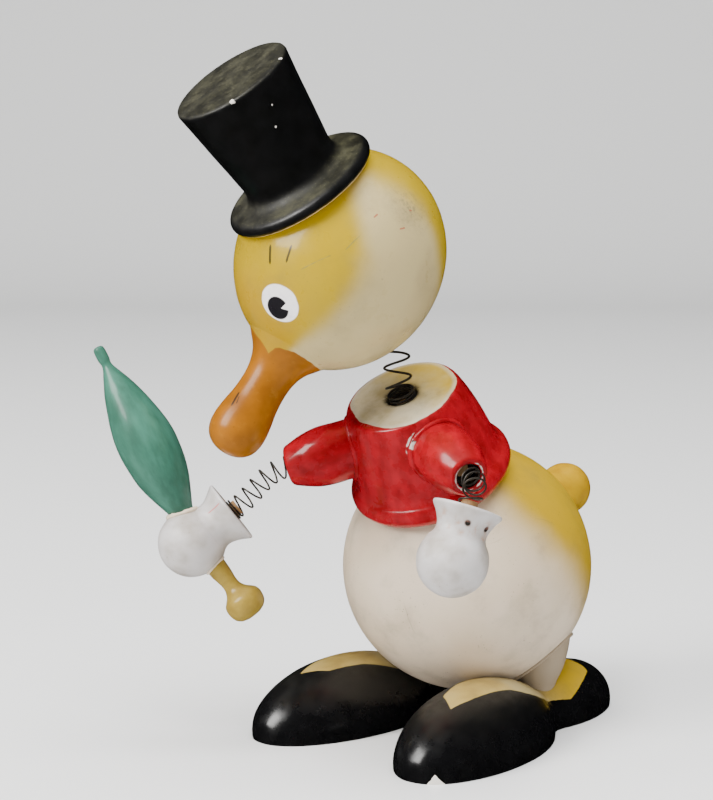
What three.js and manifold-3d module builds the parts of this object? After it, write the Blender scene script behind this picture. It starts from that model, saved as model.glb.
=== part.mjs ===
// Turned-wood spring chick with top hat and umbrella. Millimetres, +Z up, chick faces -Y,
// its left side is +X. Every piece is a separate closed body, posed as the toy hangs at rest.
import * as THREE from 'three';
import { mergeVertices } from 'three/addons/utils/BufferGeometryUtils.js';
import Module from 'manifold-3d';

const wasm = await Module();
wasm.setup();

// ---- driving dimensions -------------------------------------------------------------------
const RAD = Math.PI / 180;
const CENTRING = [11.97, 15.1, 0];        // moves the footprint's middle onto the origin

const BELLY_R = 30, BELLY_Z = 37.55;
const LEAN = 29.75 * RAD;               // chest and neck axis, forward of vertical
const CHEST_TOP = 51.1;                 // distances up the chest axis from the belly centre
const CHEST_TOP_R = 13.35, HEM_H = 29.0, HEM_R = 16.3, HEM_ROLL = 3.2;
const TAIL_R = 6.6, TAIL_Y = 41.0, TAIL_Z = 50.2;

const SHOE_X = 19.5, SHOE_Y = -21.4, SHOE_TURNOUT = 6.6 * RAD, SOLE_LIFT = 1.5;
const LEG_X = 16.6, LEG_Y = 6, LEG_R = 8.2, LEG_DOWEL_R = 3;

const SLEEVES = {                       // h: height of the joint on the chest axis
  left: { side: 1, h: 42.1, forward: 29 * RAD, lift: 0, reach: 29.4 },
  right: { side: -1, h: 41.0, forward: 39 * RAD, lift: 0.026, reach: 31.0 },
};
const SLEEVE_LEN = 17.5, SLEEVE_BORE_R = 3.0, SLEEVE_BORE_DEPTH = 7, SLEEVE_PEG = 16.2;

const HEAD_C = [-6.08, -40.05, 114.05], HEAD_R = 23.4, HEAD_LONG = 25.7;
const HAT_TILT = 34.8 * RAD, HAT_HEADING = -18.6 * RAD, HEAD_YAW = -5.4 * RAD;
const BILL_DROP = 112 * RAD;            // bill axis below the head's upright axis
const HAT_COCK = 1.8 * RAD, HAT_SHIFT = [0.5, 1.6, 0];   // the hat sits a little crooked

const NECK = { r: 3.0, wire: 0.6, bore: 3.6, depth: 6, plug: 2.1, seat: 4 };
const ARM = { r: 2.42, wire: 0.45, plug: 1.85, seat: 2.6 };

const GLOVE_R = 8.0, CUFF_Z = 12.1, CUFF_R = 7.7;
const GLOVES = {
  left: { c: [30.7, -45.7, 50.8], axis: [0.051, 0.386, 0.921] },
  right: { c: [-39.6, -54.3, 46.4], axis: [0.507, 0.612, 0.607] },
};
const UMBRELLA_AT = [-38.5, -53.4, 46.4];   // where the umbrella's axis crosses the right glove
const CANOPY_DIR = [-0.46, -0.165, 0.872], CANOPY_LEN = 44;
const HANDLE_DIR = [0.571, 0.284, -0.771];
const GLUE = 0.12;                      // clearance round every glued joint

// ---- geometry helpers ---------------------------------------------------------------------
const V = (a) => new THREE.Vector3(...a);

function toSolid(geometry) {
  const g = geometry.clone();
  for (const name of ['normal', 'uv', 'uv1']) g.deleteAttribute(name);
  const m = mergeVertices(g, 1e-5);
  const pos = m.attributes.position.array;
  const idx = Uint32Array.from(m.index.array);
  const keep = [];
  let volume = 0;
  for (let i = 0; i < idx.length; i += 3) {
    const [a, b, c] = [idx[i], idx[i + 1], idx[i + 2]];
    if (a === b || b === c || a === c) continue;
    keep.push(a, b, c);
    const p = [a, b, c].map((k) => new THREE.Vector3().fromArray(pos, 3 * k));
    volume += p[0].dot(p[1].cross(p[2]));
  }
  if (volume < 0) for (let i = 0; i < keep.length; i += 3) [keep[i], keep[i + 1]] = [keep[i + 1], keep[i]];
  const mesh = new wasm.Mesh({
    numProp: 3, vertProperties: Float32Array.from(pos), triVerts: Uint32Array.from(keep),
  });
  return new wasm.Manifold(mesh);
}

function fromSolid(solid) {
  const m = solid.getMesh();
  const g = new THREE.BufferGeometry();
  g.setAttribute('position', new THREE.BufferAttribute(Float32Array.from(m.vertProperties), 3));
  g.setIndex(new THREE.BufferAttribute(Uint32Array.from(m.triVerts), 1));
  g.computeVertexNormals();
  return g;
}

// A turned piece: profile is [radius, height] pairs, axis along +Z, placed at origin along dir.
function turned(profile, segments, origin = [0, 0, 0], dir = [0, 0, 1]) {
  const pts = profile.map(([r, z]) => new THREE.Vector2(Math.max(r, 0), z));
  const g = new THREE.LatheGeometry(pts, segments);
  g.rotateX(Math.PI / 2);
  const q = new THREE.Quaternion().setFromUnitVectors(V([0, 0, 1]), V(dir).normalize());
  g.applyQuaternion(q);
  g.translate(...origin);
  return toSolid(g);
}

const dowel = (r, z0, z1, origin, dir, seg = 14) =>
  turned([[0, z0], [r, z0], [r, z1], [0, z1]], seg, origin, dir);

function arc(cr, cz, rad, a0, a1, n) {
  const out = [];
  for (let i = 0; i <= n; i++) {
    const a = (a0 + ((a1 - a0) * i) / n) * RAD;
    out.push([cr + rad * Math.cos(a), cz + rad * Math.sin(a)]);
  }
  return out;
}

const along = (origin, dir, d) => V(origin).addScaledVector(V(dir).normalize(), d).toArray();

// A helix wound round a smooth centre line, with close coils at both ends.
class Coil extends THREE.Curve {
  constructor(line, r, wire, closeLow, open, closeHigh, ref, phase) {
    super();
    Object.assign(this, { line, r, ref: V(ref).normalize(), phase });
    this.len = line.getLength();
    this.turns = closeLow + open + closeHigh;
    const tight = 1.35 * wire;
    this.knots = [[0, 0], [closeLow, closeLow * tight],
      [closeLow + open, this.len - closeHigh * tight], [this.turns, this.len]];
  }
  getPoint(t) {
    const k = t * this.turns;
    let i = 0;
    while (i < 2 && k > this.knots[i + 1][0]) i++;
    const [[k0, s0], [k1, s1]] = [this.knots[i], this.knots[i + 1]];
    const s = Math.min(Math.max((s0 + ((s1 - s0) * (k - k0)) / (k1 - k0)) / this.len, 0), 1);
    const c = this.line.getPointAt(s), tan = this.line.getTangentAt(s);
    const e1 = new THREE.Vector3().crossVectors(this.ref, tan).normalize();
    const e2 = new THREE.Vector3().crossVectors(tan, e1);
    const a = 2 * Math.PI * k + this.phase;
    return c.addScaledVector(e1, this.r * Math.cos(a)).addScaledVector(e2, this.r * Math.sin(a));
  }
}

function coilSpring(from, fromDir, to, toDir, spec) {
  const a = V(along(from, fromDir, spec.straight[0])), b = V(along(to, toDir, -spec.straight[1]));
  const gap = a.distanceTo(b);
  const line = new THREE.CurvePath();      // straight inside each bore, curved between them
  line.add(new THREE.LineCurve3(V(from), a));
  line.add(new THREE.CubicBezierCurve3(a, V(along(a.toArray(), fromDir, spec.bend * gap)),
    V(along(b.toArray(), toDir, -spec.bend * gap)), b));
  line.add(new THREE.LineCurve3(b, V(to)));
  const curve = new Coil(line, spec.r, spec.wire, spec.low, spec.open, spec.high, spec.ref, spec.phase);
  const section = new THREE.Shape(
    Array.from({ length: 5 }, (_, i) => new THREE.Vector2(
      (spec.wire / 2) * Math.cos(i * 72 * RAD), (spec.wire / 2) * Math.sin(i * 72 * RAD))));
  return toSolid(new THREE.ExtrudeGeometry(section,
    { steps: Math.round(curve.turns * 8), extrudePath: curve, bevelEnabled: false }));
}

// ---- pieces -------------------------------------------------------------------------------
const COLOURS = {
  cream: 0xe6dcc4, yellow: 0xe0bb45, red: 0xb01824, black: 0x101211, green: 0x3f7463,
  orange: 0xd8903a, wood: 0xb08a5a, steel: 0x8c8c88,
};
const group = new THREE.Group();
group.position.set(...CENTRING);

function add(name, solid, colour, roughness = 0.4) {
  const steel = colour === 'steel';
  const material = new THREE.MeshStandardMaterial({
    color: COLOURS[colour], roughness, metalness: steel ? 0.9 : 0 });
  const mesh = new THREE.Mesh(fromSolid(solid), material);
  mesh.name = name;
  group.add(mesh);
}

// Body: belly ball with the chest seated on it, both on the forward-leaning axis.
const bellyC = [0, 0, BELLY_Z];
const chestDir = [0, -Math.sin(LEAN), Math.cos(LEAN)];
const ball = (r, seg) => turned(arc(0, 0, r, -90, 90, seg / 2), seg, bellyC, chestDir);
const neckSeat = along(bellyC, chestDir, CHEST_TOP);

const chestOutline = [
  [HEM_R - 6, HEM_H - HEM_ROLL], ...arc(HEM_R, HEM_H, HEM_ROLL, -90, 62, 7),
  [17.6, 32.6], [17.2, 35], [16.75, 38], [15.7, 43.7], [14.3, 48.6], [13.6, 50.6],
  [13.1, CHEST_TOP]];
let chest = turned([[0, HEM_H - HEM_ROLL - 4], [HEM_R - 6, HEM_H - HEM_ROLL - 4],
  ...chestOutline, [0, CHEST_TOP]], 32, bellyC, chestDir)
  .subtract(ball(BELLY_R + GLUE, 36))
  .subtract(dowel(NECK.bore, -NECK.depth, 1, neckSeat, chestDir, 18))
  .subtract(dowel(NECK.plug + GLUE, -NECK.depth - NECK.seat, 0, neckSeat, chestDir, 12));
const chestSkin = turned([[0, 20], [HEM_R - 6, 20], ...chestOutline.map(([r, z]) => [r + GLUE, z]),
  [0, CHEST_TOP]], 32, bellyC, chestDir);

const WAIST_R = 4, WAIST = [16, 40];
let belly = ball(BELLY_R, 36).subtract(dowel(WAIST_R + GLUE, WAIST[0] - 1, 40, bellyC, chestDir));
chest = chest.subtract(dowel(WAIST_R + GLUE, 20, WAIST[1] - 2, bellyC, chestDir));
add('waist_dowel', dowel(WAIST_R, WAIST[0], WAIST[1] - 3, bellyC, chestDir), 'wood', 0.7);

// Tail: a knob on a short dowel at the back.
const tailC = [0, TAIL_Y, TAIL_Z];
const tailDir = V(tailC).sub(V(bellyC)).normalize().toArray();
const tailDist = V(tailC).distanceTo(V(bellyC));
const TAIL_DOWEL_R = 2;
let tail = turned([[0, -18], [10.2, -18], [9.2, -14], [8.0, -10.5], [7.1, -6.5], ...arc(0, 0, TAIL_R, -16, 90, 9)],
  28, tailC, tailDir).subtract(ball(BELLY_R + GLUE, 36))
  .subtract(dowel(TAIL_DOWEL_R + GLUE, -25, -5, tailC, tailDir, 12));
belly = belly.subtract(dowel(TAIL_DOWEL_R + GLUE, tailDist - 24, tailDist, bellyC, tailDir, 12));
add('tail_knob', tail, 'yellow');
add('tail_dowel', dowel(TAIL_DOWEL_R, tailDist - 23, tailDist - 5.3, bellyC, tailDir, 12), 'wood', 0.7);

// Legs and shoes: a peanut turned in one and halved, a short leg, and one dowel through both.
const shoeOutline = [[0, -28.1], [4.2, -27], [7.9, -23.7], [11.1, -18], [13.4, -10.7], [14.4, -3],
  [14.4, 4], [13.2, 11.5], [11.3, 17.2], [9.3, 21.2], [8.3, 23.6], [8.5, 25.8], [9.5, 29], [10.5, 33.5],
  [10.9, 38], [10.6, 43], [9.4, 48.6], [7.2, 53.2], [4.2, 56.4], [0, 57.7]];
for (const [side, sx] of [['left', 1], ['right', -1]]) {
  const back = [-sx * Math.sin(SHOE_TURNOUT), Math.cos(SHOE_TURNOUT), 0];
  const legC = [sx * LEG_X, LEG_Y, 0];
  const slab = new THREE.BoxGeometry(400, 400, 40);
  slab.translate(0, 0, -20);
  const shoeBody = turned(shoeOutline, 24, [sx * SHOE_X, SHOE_Y, SOLE_LIFT], back).subtract(toSolid(slab))
    .subtract(ball(BELLY_R + GLUE, 36));
  const shoeSkin = turned(shoeOutline.map(([r, z]) => [r + (r > 0 ? GLUE : 0), z]), 24,
    [sx * SHOE_X, SHOE_Y, SOLE_LIFT], back);
  const hole = dowel(LEG_DOWEL_R + GLUE, 2.5, 30, legC, [0, 0, 1]);
  add(`${side}_shoe`, shoeBody.subtract(hole), 'black', 0.25);
  add(`${side}_leg`, dowel(LEG_R, 2, 30, legC, [0, 0, 1], 28).subtract(shoeSkin)
    .subtract(toSolid(slab.clone().translate(0, 0, 3.5))).subtract(ball(BELLY_R + GLUE, 36))
    .subtract(hole), 'cream');
  belly = belly.subtract(hole);
  add(`${side}_leg_dowel`, dowel(LEG_DOWEL_R, 3, 29.5, legC, [0, 0, 1]), 'wood', 0.7);
}

// Sleeves: bored barrels on dowels, each closed round the end of an arm spring.
const sleeveOutline = [[0, 14], [3.2, 14], [3.2, 0.25], [3.5, -0.05], [4.2, 0], [4.7, 0.5], [5.3, 2.0], [6.1, 4.0],
  [6.75, 6.3], [7.05, 8.6], [7.1, 11], [7.0, 14], [7.0, SLEEVE_LEN + 4], [0, SLEEVE_LEN + 4]];
const SLEEVE_DOWEL_R = 2.2;
const mouths = {};
for (const [side, s] of Object.entries(SLEEVES)) {
  const joint = V(along(bellyC, chestDir, s.h));
  const fwd = V([0, -Math.cos(LEAN), -Math.sin(LEAN)]);
  const dir = V([s.side * Math.cos(s.forward), 0, 0]).addScaledVector(fwd, Math.sin(s.forward))
    .addScaledVector(V(chestDir), s.lift).normalize();
  const mouth = joint.clone().addScaledVector(dir, s.reach).toArray();
  const inward = dir.clone().negate().toArray();
  mouths[side] = { at: mouth, dir: dir.toArray() };
  const pegAt = s.reach - SLEEVE_PEG;     // where the sleeve meets the chest
  const peg = dowel(SLEEVE_DOWEL_R + GLUE, pegAt - 4, pegAt + 8.5, mouth, inward, 12);
  const body = turned([[0, 0], [4.3, 0], ...sleeveOutline.slice(5)], 24, mouth, inward)
    .subtract(chestSkin)
    .subtract(dowel(SLEEVE_BORE_R, -1, SLEEVE_BORE_DEPTH, mouth, inward, 24))
    .subtract(dowel(ARM.plug + GLUE, 4, SLEEVE_BORE_DEPTH + ARM.seat, mouth, inward, 12))
    .subtract(peg);
  add(`${side}_sleeve`, body, 'red', 0.3);
  chest = chest.subtract(peg);
  add(`${side}_sleeve_dowel`, dowel(SLEEVE_DOWEL_R, pegAt - 3.8, pegAt + 8.3, mouth, inward, 12),
    'wood', 0.7);
  add(`${side}_sleeve_plug`, dowel(ARM.plug, 4.4, SLEEVE_BORE_DEPTH + ARM.seat - 0.2, mouth, inward, 12),
    'wood', 0.7);
}
add('belly', belly, 'cream');
add('chest', chest, 'red', 0.3);
add('neck_lower_plug', dowel(NECK.plug, -NECK.depth - NECK.seat + 0.2, -2.4, neckSeat, chestDir, 12),
  'wood', 0.7);

// Head: egg and bill turned in one on the bill axis; the hat sits on its own axis.
const headTurn = new THREE.Quaternion()
  .setFromAxisAngle(V([0, 0, 1]), HAT_HEADING)
  .multiply(new THREE.Quaternion().setFromAxisAngle(V([1, 0, 0]), HAT_TILT))
  .multiply(new THREE.Quaternion().setFromAxisAngle(V([0, 0, 1]), HEAD_YAW));
const hatDir = V([0, 0, 1]).applyQuaternion(headTurn).toArray();
const billDir = V([0, -Math.sin(BILL_DROP), Math.cos(BILL_DROP)]).applyQuaternion(headTurn).toArray();
const egg = [];
for (let i = 0; i <= 13; i++) {
  const s = -HEAD_LONG * Math.cos((i / 13) * 155.5 * RAD);
  egg.push([i ? HEAD_R * Math.sqrt(1 - (s / HEAD_LONG) ** 2) : 0, s]);
}
const bill = [[8.3, 25.0], [7.0, 26.6], [6.1, 28.4], [5.5, 30.8], [5.3, 33.5], [5.55, 37.3], [6.2, 41],
  [6.5, 43.8], [6.3, 46.3], [5.4, 48.4], [3.6, 50], [1.6, 50.7], [0, 50.85]];
const HEAD_BOTTOM = 23.55;
const neckTop = along(HEAD_C, hatDir, -HEAD_BOTTOM);
const HAT_DOWEL_R = 3;
const hatC = V(HAT_SHIFT).applyQuaternion(headTurn).add(V(HEAD_C)).toArray();
const crownDir = V([0, -Math.sin(HAT_COCK), Math.cos(HAT_COCK)]).applyQuaternion(headTurn).toArray();
const hatPeg = dowel(HAT_DOWEL_R + GLUE, 13.8, 34.2, hatC, crownDir);
add('head', turned([...egg, ...bill], 32, HEAD_C, billDir)
  .subtract(dowel(NECK.bore, -2, NECK.depth, neckTop, hatDir, 18))
  .subtract(dowel(NECK.plug + GLUE, 0, NECK.depth + NECK.seat, neckTop, hatDir, 12))
  .subtract(hatPeg), 'yellow', 0.3);
add('neck_upper_plug', dowel(NECK.plug, 0.6, NECK.depth + NECK.seat - 0.2, neckTop, hatDir, 12),
  'wood', 0.7);
const headSkin = turned([...egg.map(([r, z]) => [r ? r + GLUE : 0, z * 1.006]), [0, 27]], 32,
  HEAD_C, billDir);
add('hat', turned([[0, 15], [13.2, 15], [13.4, 18.8], [16.6, 18.8], [17.5, 19.3], [17.9, 20.2], [17.7, 21.1],
  [16.9, 21.7], [14.4, 22.0], [12.5, 22.6], [11.5, 23.7], [11.1, 25.2], [11.5, 29], [13.8, 47.6],
  [13.75, 48.5], [13.2, 49.0], [0, 49.0]], 32, hatC, crownDir)
  .subtract(headSkin).subtract(hatPeg), 'black', 0.25);
add('hat_dowel', dowel(HAT_DOWEL_R, 14, 34, hatC, crownDir), 'wood', 0.7);

// Springs: neck and arms, each held round a plug at both ends.
const neckSpec = { ...NECK, low: 7.2, open: 3.2, high: 3.2, bend: 0.36, ref: [1, 0.2, 0.1], phase: 2.4,
  straight: [4.9, 4.8] };
add('neck_spring', coilSpring(along(neckSeat, chestDir, -4.6), chestDir,
  along(neckTop, hatDir, 4.6), hatDir, neckSpec), 'steel');

// Gloves: ball and flared cuff turned in one, bored for a plug that carries the spring end.
for (const [side, g] of Object.entries(GLOVES)) {
  const glove = turned([...arc(0, 0, GLOVE_R, -90, 42, 9), [5.65, 6.4], [5.75, 7.4], [6.3, 8.9],
    [7.0, 10.2], [CUFF_R, 11.2], [CUFF_R + 0.15, 11.8], [CUFF_R - 0.25, CUFF_Z], [0, CUFF_Z]], 24,
    g.c, g.axis);
  let body = glove.subtract(dowel(3.3 + GLUE, 6.5, 20, g.c, g.axis, 20))
    .subtract(turned([[0, 9.8], [3.2, 9.8], [6.4, 13], [0, 13]], 24, g.c, g.axis));
  const plugTop = CUFF_Z + 1.6;
  const plug = turned([[0, 6.7], [3.3, 6.7], [3.3, CUFF_Z - 1.6], [ARM.plug, CUFF_Z - 1.4],
    [ARM.plug, plugTop], [0, plugTop]], 20, g.c, g.axis);
  if (side === 'left') {
    const brads = [-46, 2].map((deg) => {
      const out = V([1, 0, 0]).applyAxisAngle(V([0, 0, 1]), deg * RAD)
        .applyQuaternion(new THREE.Quaternion().setFromUnitVectors(V([0, 0, 1]), V(g.axis).normalize()));
      const at = along(g.c, g.axis, 8.4);
      return [dowel(0.55, 3.6, 6.05, at, out.toArray(), 10), dowel(0.65, 3.4, 9, at, out.toArray(), 10)];
    });
    brads.forEach(([pin, hole], i) => {
      add(`left_cuff_brad_${i + 1}`, pin, 'steel');
      body = body.subtract(hole);
    });
  } else {
    body = body.subtract(dowel(1.9 + GLUE, 2.5, 12, UMBRELLA_AT, CANOPY_DIR, 16))
      .subtract(dowel(1.6 + GLUE, 2.5, 12, UMBRELLA_AT, HANDLE_DIR, 16));
    const canopyAt = along(UMBRELLA_AT, CANOPY_DIR, GLOVE_R - 0.2);
    const L = CANOPY_LEN;
    const canopy = turned([[0, -3], [2.6, -3], [2.9, 0.6], [3.5, 2.2], [5.0, 6], [6.35, 10.5], [7.0, 15.5], [7.05, 19],
      [6.5, 23.5], [5.3, 28.3], [3.7, 33.2], [2.2, 36.6], [1.35, 38.4], [1.2, 39.4], [1.35, 40.6],
      [1.35, L - 1.0], [0.85, L - 0.2], [0, L]], 24, canopyAt, CANOPY_DIR);
    const gloveSkin = turned(arc(0, 0, GLOVE_R + GLUE, -90, 90, 14), 24, g.c, g.axis);
    const cuffSkin = turned([[0, 0], [7, 5], [7, 8.5], [8.2, 10.5], [8.2, 13], [0, 13]], 24, g.c, g.axis);
    add('umbrella_canopy', canopy.subtract(gloveSkin).subtract(cuffSkin)
      .subtract(dowel(1.9 + GLUE, 0, 14.5, UMBRELLA_AT, CANOPY_DIR, 16)), 'green', 0.3);
    add('umbrella_dowel', dowel(1.9, 2.7, 14.3, UMBRELLA_AT, CANOPY_DIR, 16), 'wood', 0.7);
    const grip = turned([[0, 4], [2.5, 4], [2.45, 8.6], [2.2, 10.2], [2.0, 11.6], [2.1, 13.2],
      [3.0, 14.7], [4.2, 15.9], [4.75, 17.2], [4.6, 19.1], [3.6, 20.7], [1.6, 21.4], [0, 21.5]], 24,
      UMBRELLA_AT, HANDLE_DIR).subtract(gloveSkin);
    const handle = grip.add(dowel(1.6, 2.8, 9, UMBRELLA_AT, HANDLE_DIR, 16));
    add('umbrella_handle', handle, 'yellow', 0.35);
  }
  add(`${side}_glove`, body, 'cream');
  add(`${side}_cuff_plug`, plug, 'wood', 0.7);
  const m = mouths[side];
  const end = along(g.c, g.axis, CUFF_Z - 0.9);
  const toDir = V(g.axis).normalize().negate().toArray();
  const spec = { ...ARM, low: 4, open: side === 'left' ? 5 : 7, high: side === 'left' ? 2 : 3, bend: 0.42, straight: [6.2, 2.6],
    ref: [-m.dir[1], m.dir[0], 0.1], phase: 0.6 };
  add(`${side}_arm_spring`, coilSpring(along(m.at, m.dir, -6), m.dir, end, toDir, spec), 'steel');
}

export default group;
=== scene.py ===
"""Spring bobble chick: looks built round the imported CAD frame. Lengths are written in mm and placed in metres."""
import math

import bpy
import numpy as np
from mathutils import Matrix, Vector


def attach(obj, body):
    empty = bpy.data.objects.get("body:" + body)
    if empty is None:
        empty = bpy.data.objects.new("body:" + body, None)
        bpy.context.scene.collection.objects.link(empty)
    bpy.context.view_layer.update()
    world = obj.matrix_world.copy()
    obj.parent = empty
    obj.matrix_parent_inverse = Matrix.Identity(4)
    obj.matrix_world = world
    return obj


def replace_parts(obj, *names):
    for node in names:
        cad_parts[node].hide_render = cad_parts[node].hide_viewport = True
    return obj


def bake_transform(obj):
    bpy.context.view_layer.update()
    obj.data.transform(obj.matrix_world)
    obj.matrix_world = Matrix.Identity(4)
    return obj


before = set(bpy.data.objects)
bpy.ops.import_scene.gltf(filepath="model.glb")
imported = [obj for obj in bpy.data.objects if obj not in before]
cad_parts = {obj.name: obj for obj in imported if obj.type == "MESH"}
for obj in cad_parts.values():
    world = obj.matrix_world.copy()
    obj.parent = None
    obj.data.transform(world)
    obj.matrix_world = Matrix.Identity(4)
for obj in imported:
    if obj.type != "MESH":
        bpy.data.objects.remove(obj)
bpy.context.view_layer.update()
MM = 0.001
SHIFT = np.array([11.97, 15.1, 0.0])      # from the figure's own axes to the shared frame


# ---- vectors and frames ----
def unit(v):
    v = np.asarray(v, float)
    return v / np.linalg.norm(v)


def rot(axis, deg):
    return np.array(Matrix.Rotation(math.radians(deg), 3, axis))


class Axis:
    """A turning axis: an origin in figure mm, z along the work, x towards `mark`."""

    def __init__(self, at, z, mark=(0, 0, 1)):
        self.at, self.z = np.asarray(at, float), unit(z)
        mark = np.asarray(mark, float)
        self.x = unit(mark - mark @ self.z * self.z)
        self.y = np.cross(self.z, self.x)
        self.m = np.stack([self.x, self.y, self.z], 1)

    def out(self, p):
        return self.at + np.asarray(p, float) @ self.m.T

    def into(self, p):
        return (np.asarray(p, float) - self.at) @ self.m


LEAN = math.radians(29.75)
BELLY = np.array([0, 0, 37.55])
chest_z = np.array([0, -math.sin(LEAN), math.cos(LEAN)])
chest_fwd = np.array([0, -math.cos(LEAN), -math.sin(LEAN)])
CHEST = Axis(BELLY, chest_z, chest_fwd)           # x forward, y to the chick's left
CHEST_TOP = 51.1
HEAD_C = np.array([-6.08, -40.05, 114.05])
head_turn = rot("Z", -18.6) @ rot("X", 34.8) @ rot("Z", -5.4)
bill_z = head_turn @ [0, -math.sin(math.radians(112)), math.cos(math.radians(112))]
HEAD = Axis(HEAD_C, bill_z, head_turn @ [0, 0, 1])  # x towards the hat, y to the chick's left
HEAD_UP = head_turn @ [0, 0, 1]
HAT = Axis(HEAD_C + head_turn @ [0.5, 1.6, 0],
           head_turn @ [0, -math.sin(math.radians(1.8)), math.cos(math.radians(1.8))],
           head_turn @ [0, -1, 0])
TAIL_C = np.array([0, 41.0, 50.2])
TAIL = Axis(TAIL_C, TAIL_C - BELLY)


def sleeve_axis(side, h, forward, lift, reach):
    d = unit(side * math.cos(math.radians(forward)) * np.array([1, 0, 0])
             + math.sin(math.radians(forward)) * chest_fwd + lift * chest_z)
    return Axis(CHEST.out([0, 0, h]) + d * reach, -d)


SLEEVE = {"left": sleeve_axis(1, 42.1, 29, 0, 29.4), "right": sleeve_axis(-1, 41.0, 39, 0.026, 31.0)}
GLOVE = {"left": Axis([30.7, -45.7, 50.8], [0.051, 0.386, 0.921], [0.6, -0.8, 0]),
         "right": Axis([-39.6, -54.3, 46.4], [0.507, 0.612, 0.607], [0.6, -0.8, 0])}
UMBRELLA_AT = np.array([-38.5, -53.4, 46.4])
CANOPY = Axis(UMBRELLA_AT + unit([-0.46, -0.165, 0.872]) * 7.8, [-0.46, -0.165, 0.872])
HANDLE = Axis(UMBRELLA_AT, [0.571, 0.284, -0.771])


# ---- meshes ----
def curve_through(points, step=0.45):
    """Smooth centripetal curve through soft points, sampled about every `step` mm."""
    p = np.array(points, float)
    if len(p) < 3:
        n = max(2, int(np.linalg.norm(p[-1] - p[0]) / step) + 1)
        return p[0] + (p[-1] - p[0]) * np.linspace(0, 1, n)[:, None]
    q = np.vstack([2 * p[0] - p[1], p, 2 * p[-1] - p[-2]])
    out = []
    for i in range(1, len(q) - 2):
        a, b, c, d = q[i - 1:i + 3]
        t = np.cumsum([0] + [max(np.linalg.norm(v), 1e-6) ** 0.5 for v in (b - a, c - b, d - c)])
        n = max(2, int(np.linalg.norm(c - b) / step) + 1)
        for s in np.linspace(t[1], t[2], n, endpoint=False):
            a1 = (t[1] - s) / (t[1] - t[0]) * a + (s - t[0]) / (t[1] - t[0]) * b
            a2 = (t[2] - s) / (t[2] - t[1]) * b + (s - t[1]) / (t[2] - t[1]) * c
            a3 = (t[3] - s) / (t[3] - t[2]) * c + (s - t[2]) / (t[3] - t[2]) * d
            b1 = (t[2] - s) / (t[2] - t[0]) * a1 + (s - t[0]) / (t[2] - t[0]) * a2
            b2 = (t[3] - s) / (t[3] - t[1]) * a2 + (s - t[1]) / (t[3] - t[1]) * a3
            out.append((t[2] - s) / (t[2] - t[1]) * b1 + (s - t[1]) / (t[2] - t[1]) * b2)
    return np.array(out + [p[-1]])


def profile(*runs, step=0.45):
    """Joins runs of soft points; each run starts where the last one ended, with a crisp corner."""
    parts = [curve_through(runs[0], step)]
    for run in runs[1:]:
        parts.append(curve_through([tuple(parts[-1][-1])] + list(run), step)[1:])
    return np.vstack(parts)


def mesh_object(name, verts, faces, material, body, local=None):
    """Makes a smooth-shaded piece from figure-mm vertices; `local` is kept for the textures."""
    me = bpy.data.meshes.new(name)
    me.from_pydata(((np.asarray(verts) + SHIFT) * MM).tolist(), [], faces)
    me.validate()
    me.update()
    me.polygons.foreach_set("use_smooth", [True] * len(me.polygons))
    ob = bpy.data.objects.new(name, me)
    bpy.context.scene.collection.objects.link(ob)
    me.materials.append(material)
    loc = verts if local is None else local
    at = me.attributes.new("local", "FLOAT_VECTOR", "POINT")
    at.data.foreach_set("vector", (np.asarray(loc, float) * MM).ravel())
    if body:
        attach(ob, body)
    return ob


def field(ob, name, values):
    """A number per vertex, such as a signed distance in mm to a painted edge."""
    at = ob.data.attributes.new(name, "FLOAT", "POINT")
    at.data.foreach_set("value", np.asarray(values, float).ravel())


def ring_faces(rows, seg, pole0, pole1, close=False):
    """Quads for `rows` rings of `seg` points; a pole vertex at either end closes it."""
    faces, base = [], 1 if pole0 else 0
    for i in range(rows - 1 + (1 if close else 0)):
        a, b = base + i * seg, base + ((i + 1) % rows) * seg
        for j in range(seg):
            k = (j + 1) % seg
            faces.append((a + j, a + k, b + k, b + j))
    if pole0:
        faces += [(0, base + (j + 1) % seg, base + j) for j in range(seg)]
    if pole1:
        last, tip = base + (rows - 1) * seg, base + rows * seg
        faces += [(tip, last + j, last + (j + 1) % seg) for j in range(seg)]
    return faces


def wobble(local, size, amount, seed=0.0):
    """Slow hand-finished unevenness, in mm, from a few crossed waves."""
    p = np.asarray(local) / size
    w = np.zeros(len(p))
    for k in range(5):
        d = unit(np.sin(np.array([1.3, 2.7, 3.9]) * (k + 1.7) + seed))
        w += np.sin(p @ d * (1 + 0.55 * k) * 2 * math.pi + seed * (k + 1)) / (1 + 0.6 * k)
    return w * amount / 2.2


def lathe(name, prof, axis, material, body, seg=120, uneven=0.05, size=14.0, seed=0.0, shape=None):
    """A turned piece. Radii of zero at the ends become poles."""
    prof = np.asarray(prof, float)
    pole0, pole1 = prof[0, 0] < 1e-6, prof[-1, 0] < 1e-6
    mid = prof[(1 if pole0 else 0):(len(prof) - 1 if pole1 else len(prof))]
    ang = np.linspace(0, 2 * math.pi, seg, endpoint=False)
    ring = np.stack([np.outer(mid[:, 0], np.cos(ang)), np.outer(mid[:, 0], np.sin(ang)),
                     np.repeat(mid[:, 1:2], seg, 1)], -1).reshape(-1, 3)
    local = np.vstack([[[0, 0, prof[0, 1]]] if pole0 else np.empty((0, 3)), ring,
                       [[0, 0, prof[-1, 1]]] if pole1 else np.empty((0, 3))])
    if uneven:
        r = np.hypot(local[:, 0], local[:, 1])
        grow = 1 - np.abs(wobble(local, size, uneven, seed)) / np.maximum(r, 2.0)
        local[:, :2] *= grow[:, None]
    if shape is not None:
        local = shape(local)
    faces = ring_faces(len(mid), seg, pole0, pole1, close=not (pole0 or pole1))
    return mesh_object(name, axis.out(local), faces, material, body, local), local


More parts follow.
